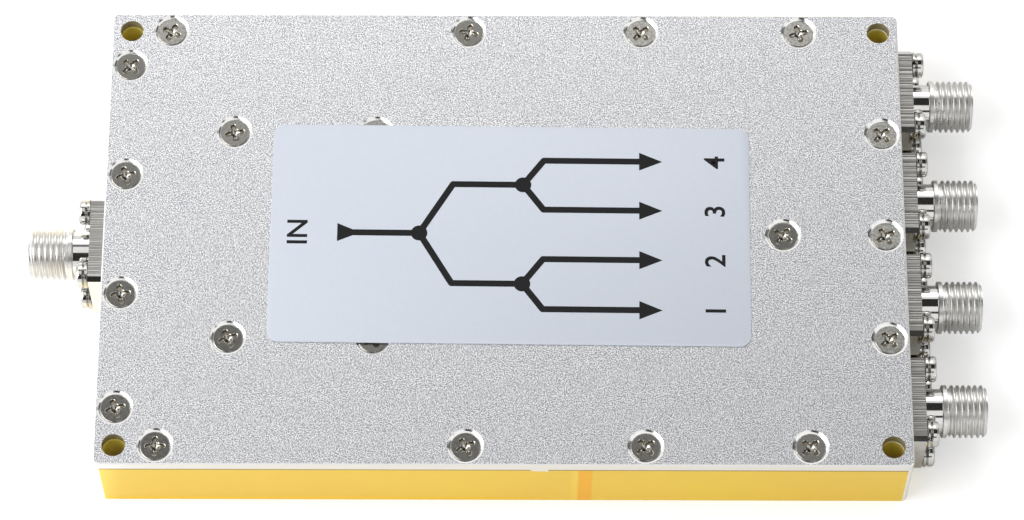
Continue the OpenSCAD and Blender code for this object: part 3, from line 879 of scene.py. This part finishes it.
@dataclass(frozen=True)
class CrossRecess:
    """A cross recess for a driver: four rounded wings whose floors rise a little to a hollow middle."""

    span: float
    depth: float
    wing: float
    core_r: float
    round_off: float = 0.2
    lip: float = 0.09
    lip_h: float = 0.05
    draft: float = 0.93
    wing_depth: float = 0.3
    wing_rise: float = 0.07
    hollow: float = 0.46
    # Size of the outline on the way to the middle; the floor as far as the third one takes the darker finish
    steps: tuple[float, ...] = (0.8, 0.62, 0.46, 0.25, 0.06)
    stained: int = 3
    # Samples across half a wing's end and down its side, where they crowd towards the end
    end_steps: int = 4
    side_steps: int = 6
    crowd: float = 1.3

    def angles(self) -> list[float]:
        """The angles at which the recess's outline is sampled.

        Returns:
            Angles in radians, denser at the ends of the wings.
        """
        corner = math.asin(self.wing / self.span)
        half = [corner * i / self.end_steps for i in range(self.end_steps)]
        half += [corner + (math.pi / 4 - corner) * (i / self.side_steps) ** self.crowd
                 for i in range(self.side_steps + 1)]
        quarter = [-a for a in half[:0:-1]][1:] + half
        return [q + math.pi / 2 * k for k in range(4) for q in quarter]

    def reach(self, angle: float) -> float:
        """The outline's distance from the middle.

        Args:
            angle: The angle in radians.

        Returns:
            The distance.
        """
        turn = abs((angle + math.pi / 4) % (math.pi / 2) - math.pi / 4)
        end = self.span / 2 * (1 - self.round_off * (turn / math.asin(self.wing / self.span)) ** 2)
        side = self.wing / 2 / math.sin(turn) if turn else end
        return max(min(end, side), self.core_r)

    def floor(self, radius: float) -> float:
        """Depth of the recess's floor.

        Args:
            radius: The distance from the middle.

        Returns:
            The depth.
        """
        share = radius / (self.span / 2)
        wing = self.wing_depth - self.wing_rise * (1 - share)
        return wing + (self.depth - wing) * max(0.0, 1 - share / self.hollow)

    def rings(self, level: Callable[[float], float], top: float) -> list[Ring]:
        """The recess's skin, from its rim down to its bottom.

        Args:
            level: Height of the head's surface at a radius.
            top: Height from which the depth is measured.

        Returns:
            Rings from the outside in.
        """
        turns = [(a, self.reach(a)) for a in self.angles()]
        made = [[polar(r + self.lip, a, level(r + self.lip)) for a, r in turns],
                [polar(r, a, level(r) - self.lip_h) for a, r in turns]]
        return made + [[polar(r * share, a, top - self.floor(r * share)) for a, r in turns]
                       for share in (self.draft, *self.steps)]

    def marks(self, first: int) -> dict[int, int]:
        """Numbers the darker finish of the recess's wall and floor, by ring.

        Args:
            first: The number of the rim's ring.

        Returns:
            The finish by the ring's number.
        """
        return {first + 1 + k: ScrewFace.STAINED for k in range(self.stained)}


@dataclass
class CoverScrews:
    """The countersunk screws that hold the cover, each turned as it was driven home."""

    head_d: float = 3.5
    rim: float = 0.1
    edge: float = 0.045
    shank_d: float = 2.0
    length: float = 6.0
    top_z: float = 11.25
    recess: CrossRecess = CrossRecess(2.4, 0.7, 0.78, 0.54)
    crease: float = 12.0
    edge_x: float = 46.1
    edge_y: float = 27.6
    row_x: tuple[float, ...] = (-41.2, -4.5, 16.8, 36.3)
    row_turn: tuple[Span, ...] = ((0, 64), (29, 77), (40, 45), (45, 15))
    # How far each head leans to the front, in degrees, so that no two mirror quite the same place
    row_lean: tuple[Span, ...] = ((0.9, 0.4), (-0.2, 1.7), (-0.2, 0.0), (-0.3, 0.3))
    input_y: tuple[float, ...] = (-22.8, -7.9, 7.9, 22.8)
    input_turn: tuple[float, ...] = (20, 10, 17, 45)
    input_lean: tuple[float, ...] = (0.4, 1.0, 1.2, 1.7)
    output_y: tuple[float, ...] = (-13.65, 0.0, 13.65)
    output_turn: tuple[float, ...] = (40, 32, 45)
    output_lean: tuple[float, ...] = (-0.4, -0.2, 0.4)
    inner: tuple[Quad, ...] = (
        (-33.0, -13.7, 22, 1.0), (-33.0, 13.7, 12, 0.6), (-15.7, -13.7, 30, 0.0), (-15.7, 13.7, 60, 0.0),
        (33.7, 0.0, 55, 1.5))

    def places(self) -> list[Quad]:
        """Where each screw is, how its cross is turned and how its head leans.

        Returns:
            X, Y, turn and lean of each screw.
        """
        made = [(x, side * self.edge_y, turn, lean)
                for x, turns, leans in zip(self.row_x, self.row_turn, self.row_lean)
                for side, turn, lean in zip((-1, 1), turns, leans)]
        made += [(-self.edge_x, *rest) for rest in zip(self.input_y, self.input_turn, self.input_lean)]
        made += [(self.edge_x, *rest) for rest in zip(self.output_y, self.output_turn, self.output_lean)]
        return made + list(self.inner)

    def build(self) -> None:
        """Builds the screws as one piece."""
        sketch = Sketch()
        angles = self.recess.angles()
        head, shank = self.head_d / 2, self.shank_d / 2
        profile = [(shank * TIP, -self.length), (shank, -self.length + TIP_L),
                   (shank, -self.rim - head + shank), (head, -self.rim), (head, -self.edge),
                   (head - self.edge * EASE, -self.edge * EASE), (head - self.edge, 0.0)]
        outside = [[polar(r, a, z) for a in angles] for r, z in profile]
        rings = outside + self.recess.rings(lambda radius: 0.0, 0.0)
        marks = self.recess.marks(len(outside))
        for x, y, turn, lean in self.places():
            leant = Matrix(((1, 0, 0, x), (0, 1, 0, y), (0, math.tan(math.radians(lean)), 1, self.top_z),
                            (0, 0, 0, 1)))
            sketch.loft(rings, leant @ Matrix.Rotation(math.radians(turn), 4, "Z"), marks=marks)
        sketch.piece("cover_screw_set", [BARREL_NICKEL, DARK_RECESS_NICKEL], Slot.COVER_SCREWS, ["cover_screws"],
                     self.crease)


@dataclass
class Label:
    """The film label with its generic print: a branching line, the input's mark and the outputs' numbers."""

    length: float = 58.0
    width: float = 29.0
    corner: float = 1.4
    corner_steps: int = 8
    crease: float = 60.0
    low: float = 11.5
    film: float = 0.138
    ink: float = 0.01
    soft: float = 0.04
    x: float = 0.7
    turn: float = -0.5
    stroke: float = 0.8
    bend_steps: int = 24
    # Where the line starts and bends along X, up to the outputs' arrows
    feed_x: Span = (-20.5, -11.0)
    arm_x: Span = (-7.0, 1.5)
    out_x: Span = (4.0, 16.0)
    out_y: tuple[float, ...] = (-9.9, -3.3, 3.3, 9.9)
    in_arrow: Span = (-20.9, -18.1)
    out_arrow: Span = (15.6, 18.4)
    arrow_half: float = 1.2
    dot_r: float = 1.0
    dot_steps: int = 32
    figure_h: float = 2.4
    mark_x: float = -25.6
    number_x: float = 24.9

    def outline(self, inset: float, z: float) -> Ring:
        """The label's outline, drawn in by an inset.

        Args:
            inset: How far it is drawn in.
            z: Its height.

        Returns:
            The outline's points.
        """
        made = []
        for quarter, (sx, sy) in enumerate(((1, 1), (-1, 1), (-1, -1), (1, -1))):
            middle = Vector((sx * (self.length / 2 - self.corner), sy * (self.width / 2 - self.corner), z))
            made += [middle + polar(self.corner - inset, (quarter + i / self.corner_steps) * math.pi / 2, 0.0)
                     for i in range(self.corner_steps + 1)]
        return made

    def line(self, *points: Span) -> list[Ring]:
        """Outlines of a line with round ends and bends.

        Args:
            points: The line's points.

        Returns:
            Closed outlines that overlap.
        """
        half = self.stroke / 2
        made = [circle(half, 0.0, self.bend_steps, point) for point in points]
        for start, stop in zip(points, points[1:]):
            a, b = Vector((*start, 0)), Vector((*stop, 0))
            along = (b - a).normalized() * half
            side = Vector((-along.y, along.x, 0))
            made.append([a - side, b - side, b + side, a + side])
        return made

    def arrow(self, ends: Span, y: float) -> Ring:
        """The outline of an arrow's head, from its back to its point."""
        back, point = ends
        return [Vector((back, y - self.arrow_half, 0)), Vector((point, y, 0)),
                Vector((back, y + self.arrow_half, 0))]

    def diagram(self) -> list[Ring]:
        """The branching line, from the input's arrow to the outputs' arrows.

        Returns:
            Closed outlines that overlap.
        """
        inner, outer = self.out_y[2:]
        start, fork = ((x, 0.0) for x in self.feed_x)
        shapes = self.line(start, fork)
        for side in (-1, 1):
            bend, split = ((x, side * (inner + outer) / 2) for x in self.arm_x)
            shapes += self.line(fork, bend, split)
            for y in (inner, outer):
                shapes += self.line(split, *((x, side * y) for x in self.out_x))
                shapes.append(self.arrow(self.out_arrow, side * y))
            shapes.append(circle(self.dot_r, 0.0, self.dot_steps, split))
        return shapes + [circle(self.dot_r, 0.0, self.dot_steps, fork), self.arrow(self.in_arrow, 0.0)]

    def build(self) -> None:
        """Builds the film and its print."""
        place = Matrix.Translation((self.x, 0, self.low)) @ Matrix.Rotation(math.radians(self.turn), 4, "Z")
        film = Sketch()
        film.loft([self.outline(0, 0), self.outline(0, self.film - self.soft),
                   self.outline(self.soft * EASE, self.film - self.soft * EASE),
                   self.outline(self.soft, self.film)], place)
        film.piece("label_film", [LABEL_FILM], Slot.LABEL, ["label"], self.crease)
        ink = Sketch()
        ink.flat(self.diagram(), self.film, self.film + self.ink, place)
        upright = Matrix.Rotation(math.pi / 2, 4, "Z")
        marks = [("IN", self.mark_x, 0.0)]
        marks += [(str(n + 1), self.number_x, y) for n, y in enumerate(self.out_y)]
        for text, x, y in marks:
            ink.words(text, self.figure_h, self.ink,
                      place @ Matrix.Translation((x, y, self.film)) @ upright)
        ink.piece("label_print", [LABEL_INK], Slot.LABEL)


@dataclass
class Jack:
    """One coaxial jack: a flange, a neck, a collar and a threaded barrel round its socket."""

    port: Port
    end_x: float = 48.5
    pitch: float = 13.65
    axis_z: float = 5.4
    flange_w: float = 11.2
    flange_h: float = 9.2
    flange_t: float = 1.8
    flange_chamfer: Span = (0.56, 0.42)
    flange_overlap: float = 0.3
    hole_y: float = 8.4
    hole_z: float = 6.2
    hole_d: float = 1.8
    hole_facets: int = 24
    neck_d: float = 5.4
    collar_z: float = 4.0
    collar_l: float = 0.6
    thread_d: float = 6.35
    groove_h: float = 0.4
    groove_l: float = 0.25
    mouth_z: float = 9.35
    mouth_chamfer: float = 0.4
    soft: float = 0.07
    socket_d: float = 4.6
    socket_h: float = 1.9
    insulator_d: float = 4.1
    facets: int = 72
    # Number of the neck's ring in the barrel's skin
    neck_ring: int = 6
    thread_pitch: float = 25.4 / 36
    thread_h: float = 0.4
    per_turn: int = 14
    # The thread's section in half pitches: its flat crest, and its flank down to the valley
    crest_flat: float = 0.12
    flank: float = 0.76
    # Slope at which the thread rises out of the groove
    run_out: float = 1.5
    # The saw's grooves: the distance between two, and their width and depth, from and to
    land: Span = (0.12, 0.34)
    cut: Span = (0.05, 0.09)
    cut_h: Span = (0.006, 0.02)
    slack: float = 0.01

    def at(self) -> Matrix:
        """Turns what is built up along Z so that it points out of the jack's end of the housing.

        Returns:
            The transform, in millimetres.
        """
        _, end, place = self.port.value
        return Matrix(((0, 0, end, end * self.end_x), (end, 0, 0, place * self.pitch),
                       (0, 1, 0, self.axis_z), (0, 0, 0, 1)))

    def hole_places(self) -> list[Vector]:
        """Where the flange's holes are."""
        return [Vector((sx * self.hole_y / 2, sy * self.hole_z / 2, 0)) for sx in (-1, 1) for sy in (-1, 1)]

    def sawn_side(self, draw: random.Random, x0: float, x1: float, y: float) -> Ring:
        """A long side of the flange with the fine grooves of the saw.

        Args:
            draw: The source of the grooves' sizes.
            x0: Where the side starts.
            x1: Where it ends.
            y: Its height.

        Returns:
            Points along the side.
        """
        way, inward = math.copysign(1.0, x1 - x0), -math.copysign(1.0, y)
        made = [Vector((x0, y, 0))]
        x = x0 + way * draw.uniform(*self.land)
        while (x1 - x) * way > self.land[1]:
            width, depth = draw.uniform(*self.cut), draw.uniform(*self.cut_h)
            made += [Vector((x, y, 0)), Vector((x + way * width / 2, y + inward * depth, 0)),
                     Vector((x + way * width, y, 0))]
            x += way * (width + draw.uniform(*self.land))
        return made + [Vector((x1, y, 0))]

    def flange_outline(self, draw: random.Random) -> Ring:
        """The flange's outline, sawn on its two long sides.

        Args:
            draw: The source of the grooves' sizes.

        Returns:
            The outline's points.
        """
        end, y = self.flange_w / 2, self.flange_h / 2
        x, low = end - self.flange_chamfer[0], y - self.flange_chamfer[1]
        top, bottom = self.sawn_side(draw, x, -x, y), self.sawn_side(draw, -x, x, -y)
        return [Vector((end, low, 0)), *top, Vector((-end, low, 0)),
                Vector((-end, -low, 0)), *bottom, Vector((end, -low, 0))]

    def thread_start(self) -> float:
        """Where the thread starts, from the housing's end face."""
        return self.collar_z + self.collar_l + self.groove_l

    def thread_radius(self, z: float, phase: float) -> float:
        """The threaded barrel's radius: a thread that runs out at both ends.

        Args:
            z: Distance from the housing's end face.
            phase: Place in the thread's section, in pitches.

        Returns:
            The radius.
        """
        valley = min(max((abs(phase % 1.0 - 0.5) * 2 - self.crest_flat) / self.flank, 0.0), 1.0)
        smooth = valley * valley * (3 - 2 * valley)
        crest = self.thread_d / 2
        return min(crest - self.thread_h * smooth,
                   crest - self.groove_h + (z - self.thread_start()) * self.run_out,
                   crest - max(0.0, z - self.mouth_z + self.mouth_chamfer))

    def thread(self) -> list[Ring]:
        """The thread's skin, whose rings climb with it to the right.

        Returns:
            Rings whose ends meet the start of the ring a turn further on; the outermost are flat.
        """
        start = self.thread_start()
        turns = (self.mouth_z - start) / self.thread_pitch
        rings = []
        for k in range(-self.per_turn, math.ceil(turns * self.per_turn) + 1):
            phase = k / self.per_turn
            heights = [start + (phase + j / self.facets) * self.thread_pitch for j in range(self.facets)]
            inside = [min(max(z, start), self.mouth_z) for z in heights]
            rings.append([polar(self.thread_radius(z, phase), math.tau * j / self.facets, z)
                          for j, z in enumerate(inside)])
        return rings

    def barrel(self) -> list[Ring]:
        """The rest of the turned barrel's skin, from the mouth through the bore and back to the thread.

        Returns:
            Rings, of which the first and the last are the thread's ends.
        """
        neck, crest, root = self.neck_d / 2, self.thread_d / 2, self.thread_d / 2 - self.groove_h
        groove_z, soft = self.collar_z + self.collar_l, self.soft
        socket, bore = self.socket_d / 2, self.insulator_d / 2
        profile = [(crest - self.mouth_chamfer, self.mouth_z), (socket + soft, self.mouth_z),
                   (socket, self.mouth_z - soft), (socket, self.mouth_z - self.socket_h),
                   (bore, self.mouth_z - self.socket_h), (bore, 0.0), (neck, 0.0), (neck, self.collar_z),
                   (crest - soft, self.collar_z), (crest, self.collar_z + soft), (crest, groove_z - soft),
                   (crest - soft, groove_z), (root, groove_z), (root, self.thread_start())]
        return [circle(r, z, self.facets) for r, z in profile]

    def build(self) -> None:
        """Builds the shell and dresses the insulator and the contact."""
        name = self.port.value[0]
        sketch, at = Sketch(), self.at()
        sketch.loft(self.barrel(), at, capped=False, marks={self.neck_ring: ShellFace.BURNISHED})
        sketch.loft(self.thread(), at, capped=False, twist=self.per_turn)
        holes = [circle(self.hole_d / 2, 0, self.hole_facets, p.to_2d()) for p in self.hole_places()]
        centre = circle(self.neck_d / 2 - self.flange_overlap, 0, self.facets)
        sawn_x = self.flange_w / 2 - self.flange_chamfer[0] - self.slack
        sketch.plate([self.flange_outline(random.Random(name)), centre, *holes], self.flange_t, at,
                     ShellFace.MILLED, lambda a, b: ShellFace.BURNISHED if min(abs(a.x), abs(b.x)) > sawn_x
                     else ShellFace.MILLED)
        sketch.piece(name + "_jack_shell", [WHITE_BRONZE, MILLED_BRONZE, BURNISHED_BRONZE], Slot.JACK_SHELL,
                     [name + "_shell"])
        dress_node(name + "_dielectric", FLUOROPOLYMER)
        dress_node(name + "_contact", GOLD_PLATE)


@dataclass
class FlangeHardware:
    """The pan-head screws and split spring washers that hold the flanges."""

    jacks: list[Jack]
    head_d: float = 3.1
    head_h: float = 1.0
    crown: float = 0.12
    # Where the crown is sampled between the shoulder and the recess
    crown_shares: Span = (0.35, 0.7)
    shoulder: float = 0.38
    shoulder_steps: int = 6
    edge: float = 0.18
    shank_d: float = 1.6
    length: float = 5.8
    recess: CrossRecess = CrossRecess(1.7, 0.6, 0.55, 0.4)
    cross_turn: float = 37.0
    washer_t: float = 0.55
    washer_w: float = 0.7
    washer_id: float = 1.8
    washer_round: float = 0.16
    washer_steps: int = 48
    split: float = 0.35
    slant: float = 25.0
    split_turn: float = 67.0

    def places(self) -> list[tuple[Matrix, int]]:
        """Each screw's place on its flange's outer face, with the count that turns it.

        Returns:
            Transforms in millimetres, each with its count.
        """
        return [(jack.at() @ Matrix.Translation(hole + Vector((0, 0, jack.flange_t))), j + i)
                for j, jack in enumerate(self.jacks) for i, hole in enumerate(jack.hole_places())]

    def dome(self, radius: float) -> float:
        """Height of the pan head's crown at a radius."""
        return self.head_h - self.crown * (2 * radius / self.head_d) ** 2

    def outside(self) -> list[Ring]:
        """One pan-head screw's skin as far as its recess; its head stands on z = 0.

        Returns:
            Rings from the shank's tip to the crown.
        """
        angles = self.recess.angles()
        head, shank = self.head_d / 2, self.shank_d / 2
        flat = head - self.shoulder
        profile = [(shank * TIP, -self.length), (shank, -self.length + TIP_L), (shank, 0.0),
                   (head - self.edge, 0.0), (head, self.edge)]
        for k in range(self.shoulder_steps + 1):
            turn = math.pi / 2 * k / self.shoulder_steps
            profile.append((flat + self.shoulder * math.cos(turn),
                            self.dome(flat) - self.shoulder * (1 - math.sin(turn))))
        rings = [[polar(r, a, z) for a in angles] for r, z in profile]
        for share in self.crown_shares:
            radii = [flat + share * (self.recess.reach(a) + self.recess.lip - flat) for a in angles]
            rings.append([polar(r, a, self.dome(r)) for r, a in zip(radii, angles)])
        return rings

    def washer(self) -> list[Ring]:
        """One split spring washer's skin, which stands on z = 0.

        Returns:
            Sections from one side of the split to the other.
        """
        inner, outer = self.washer_id / 2, self.washer_id / 2 + self.washer_w
        soft, thick = self.washer_round, self.washer_t
        section = [(inner + soft, 0), (outer - soft, 0), (outer, soft), (outer, thick - soft),
                   (outer - soft, thick), (inner + soft, thick), (inner, thick - soft), (inner, soft)]
        gap = self.split / (inner + outer)
        made = []
        for k in range(self.washer_steps + 1):
            turn = gap + (math.tau - 2 * gap) * k / self.washer_steps
            made.append([polar(r, turn + math.tan(math.radians(self.slant)) * (z - thick / 2) / r, z)
                         for r, z in section])
        return made

    def build(self) -> None:
        """Builds the screws as one piece and the washers as another."""
        screws, washers = Sketch(), Sketch()
        outside, washer = self.outside(), self.washer()
        screw = outside + self.recess.rings(self.dome, self.head_h)
        marks = self.recess.marks(len(outside))
        lift = Matrix.Translation((0, 0, self.washer_t))
        for place, count in self.places():
            turn = Matrix.Rotation(math.radians(count * self.cross_turn), 4, "Z")
            screws.loft(screw, place @ lift @ turn, marks=marks)
            washers.loft(washer, place @ Matrix.Rotation(math.radians(count * self.split_turn), 4, "Z"))
        screws.piece("flange_screw_set", [BRIGHT_NICKEL, DARK_RECESS_NICKEL], Slot.FLANGE_SCREWS,
                     ["flange_screws"])
        washers.piece("spring_washer_set", [SPRING_STEEL], Slot.SPRING_WASHERS, ["spring_washers"])


@dataclass
class Casing:
    """The milled housing and its cover."""

    housing: YellowChromate = YellowChromate("yellow_chromated_aluminium")
    cover: BlastedAluminium = BlastedAluminium("bead_blasted_aluminium")

    def dress(self) -> None:
        """Gives the two their finishes."""
        dress_node("housing", self.housing)
        dress_node("cover", self.cover)


@dataclass
class Circuit:
    """The divider board that the closed housing holds."""

    finishes: dict[str, Finish] = field(default_factory=lambda: {
        "circuit_board": WovenLaminate("pressed_glass_laminate"),
        "divider_traces": ETCHED_COPPER,
        "isolation_resistors": CHIP_CERAMIC,
        "solder_joints": SOFT_SOLDER,
        "board_screws": BARREL_NICKEL,
    })

    def dress(self) -> None:
        """Gives each of the circuit's pieces its finish."""
        for name, finish in self.finishes.items():
            dress_node(name, finish)


def main() -> None:
    """Builds the studio and each sub-assembly in order."""
    logging.basicConfig(level=logging.INFO, format="%(name)s: %(message)s")
    PhotoCamera().build()
    Studio().build()
    Casing().dress()
    CoverScrews().build()
    Label().build()
    jacks = [Jack(port) for port in Port]
    for jack in jacks:
        jack.build()
    FlangeHardware(jacks).build()
    Circuit().dress()


if __name__ == "__main__":
    main()
